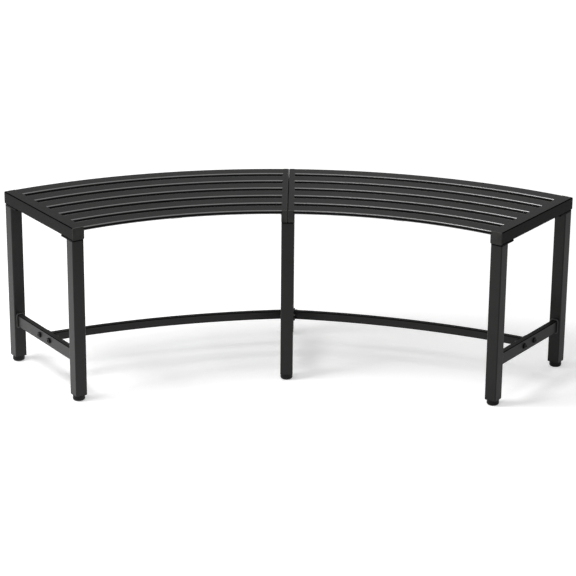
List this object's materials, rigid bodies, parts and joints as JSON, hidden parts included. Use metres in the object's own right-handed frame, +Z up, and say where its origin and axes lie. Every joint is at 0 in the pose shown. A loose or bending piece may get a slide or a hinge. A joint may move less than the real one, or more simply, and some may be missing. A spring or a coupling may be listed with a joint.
{
  "type": "backless garden bench",
  "caption": "Curved backless garden bench: concentric slatted steel seat panels on square tube legs, tied by bent stretchers, with levelling feet.",
  "frame": {"origin": "middle of the footprint, on the floor", "axes": "+Z up, +X along the bench, -Y the concave front"},
  "size_m": [1.3596, 0.49, 0.43],
  "materials": {
    "powder_coat": "satin charcoal powder coat",
    "plug_plastic": "moulded black plastic",
    "pad_nylon": "moulded black nylon",
    "black_screws": "black oxide steel",
    "zinc_steel": "bright zinc plated steel"
  },
  "bodies": {
    "bench": {"left_slat_1": "powder_coat", "left_slat_2": "powder_coat", "left_slat_3": "powder_coat", "left_slat_4": "powder_coat", "left_slat_5": "powder_coat", "left_slat_6": "powder_coat", "right_slat_1": "powder_coat", "right_slat_2": "powder_coat", "right_slat_3": "powder_coat", "right_slat_4": "powder_coat", "right_slat_5": "powder_coat", "right_slat_6": "powder_coat", "left_end_rail": "powder_coat", "right_end_rail": "powder_coat", "left_centre_rail": "powder_coat", "right_centre_rail": "powder_coat", "left_seat_strap": "powder_coat", "right_seat_strap": "powder_coat", "left_front_leg": "powder_coat", "left_rear_leg": "powder_coat", "centre_front_leg": "powder_coat", "centre_rear_leg": "powder_coat", "right_front_leg": "powder_coat", "right_rear_leg": "powder_coat", "left_front_top_plate": "powder_coat", "left_rear_top_plate": "powder_coat", "centre_front_top_plate": "powder_coat", "centre_rear_top_plate": "powder_coat", "right_front_top_plate": "powder_coat", "right_rear_top_plate": "powder_coat", "left_lower_rail": "powder_coat", "centre_lower_rail": "powder_coat", "right_lower_rail": "powder_coat", "left_stretcher": "powder_coat", "right_stretcher": "powder_coat", "left_stretcher_outer_plate": "powder_coat", "left_stretcher_inner_plate": "powder_coat", "right_stretcher_outer_plate": "powder_coat", "right_stretcher_inner_plate": "powder_coat", "end_rail_plugs": "plug_plastic", "centre_rail_plugs": "plug_plastic", "leg_inserts": "plug_plastic", "rivet_nuts": "zinc_steel", "seat_bolts": "black_screws", "stretcher_bolts": "black_screws", "stretcher_nuts": "black_screws", "washers": "black_screws"},
    "left_front_pad": {"left_front_foot_pad": "pad_nylon"},
    "left_front_stud": {"left_front_foot_stud": "zinc_steel"},
    "left_rear_pad": {"left_rear_foot_pad": "pad_nylon"},
    "left_rear_stud": {"left_rear_foot_stud": "zinc_steel"},
    "centre_front_pad": {"centre_front_foot_pad": "pad_nylon"},
    "centre_front_stud": {"centre_front_foot_stud": "zinc_steel"},
    "centre_rear_pad": {"centre_rear_foot_pad": "pad_nylon"},
    "centre_rear_stud": {"centre_rear_foot_stud": "zinc_steel"},
    "right_front_pad": {"right_front_foot_pad": "pad_nylon"},
    "right_front_stud": {"right_front_foot_stud": "zinc_steel"},
    "right_rear_pad": {"right_rear_foot_pad": "pad_nylon"},
    "right_rear_stud": {"right_rear_foot_stud": "zinc_steel"}
  },
  "joints": [
    {"name": "left_front_foot_travel", "type": "slide", "parent": "bench", "child": "left_front_pad", "axis": [0, 0, -1], "range_m": [0, 0.01]},
    {"name": "left_front_stud_turn", "type": "hinge", "parent": "left_front_pad", "child": "left_front_stud", "pos_m": [-0.48579, -0.2221, 0.0133], "axis": [0, 0, -1], "range_deg": [0, 2880]},
    {"name": "left_rear_foot_travel", "type": "slide", "parent": "bench", "child": "left_rear_pad", "axis": [0, 0, -1], "range_m": [0, 0.01]},
    {"name": "left_rear_stud_turn", "type": "hinge", "parent": "left_rear_pad", "child": "left_rear_stud", "pos_m": [-0.65771, 0.02619, 0.0133], "axis": [0, 0, -1], "range_deg": [0, 2880]},
    {"name": "centre_front_foot_travel", "type": "slide", "parent": "bench", "child": "centre_front_pad", "axis": [0, 0, -1], "range_m": [0, 0.01]},
    {"name": "centre_front_stud_turn", "type": "hinge", "parent": "centre_front_pad", "child": "centre_front_stud", "pos_m": [0, -0.07502, 0.0133], "axis": [0, 0, -1], "range_deg": [0, 2880]},
    {"name": "centre_rear_foot_travel", "type": "slide", "parent": "bench", "child": "centre_rear_pad", "axis": [0, 0, -1], "range_m": [0, 0.01]},
    {"name": "centre_rear_stud_turn", "type": "hinge", "parent": "centre_rear_pad", "child": "centre_rear_stud", "pos_m": [0, 0.22698, 0.0133], "axis": [0, 0, -1], "range_deg": [0, 2880]},
    {"name": "right_front_foot_travel", "type": "slide", "parent": "bench", "child": "right_front_pad", "axis": [0, 0, -1], "range_m": [0, 0.01]},
    {"name": "right_front_stud_turn", "type": "hinge", "parent": "right_front_pad", "child": "right_front_stud", "pos_m": [0.48579, -0.2221, 0.0133], "axis": [0, 0, -1], "range_deg": [0, 2880]},
    {"name": "right_rear_foot_travel", "type": "slide", "parent": "bench", "child": "right_rear_pad", "axis": [0, 0, -1], "range_m": [0, 0.01]},
    {"name": "right_rear_stud_turn", "type": "hinge", "parent": "right_rear_pad", "child": "right_rear_stud", "pos_m": [0.65771, 0.02619, 0.0133], "axis": [0, 0, -1], "range_deg": [0, 2880]}
  ],
  "couplings": [
    {"joint": "left_front_stud_turn", "follows": "left_front_foot_travel", "rad_per_m": 5026.5},
    {"joint": "left_rear_stud_turn", "follows": "left_rear_foot_travel", "rad_per_m": 5026.5},
    {"joint": "centre_front_stud_turn", "follows": "centre_front_foot_travel", "rad_per_m": 5026.5},
    {"joint": "centre_rear_stud_turn", "follows": "centre_rear_foot_travel", "rad_per_m": 5026.5},
    {"joint": "right_front_stud_turn", "follows": "right_front_foot_travel", "rad_per_m": 5026.5},
    {"joint": "right_rear_stud_turn", "follows": "right_rear_foot_travel", "rad_per_m": 5026.5}
  ]
}
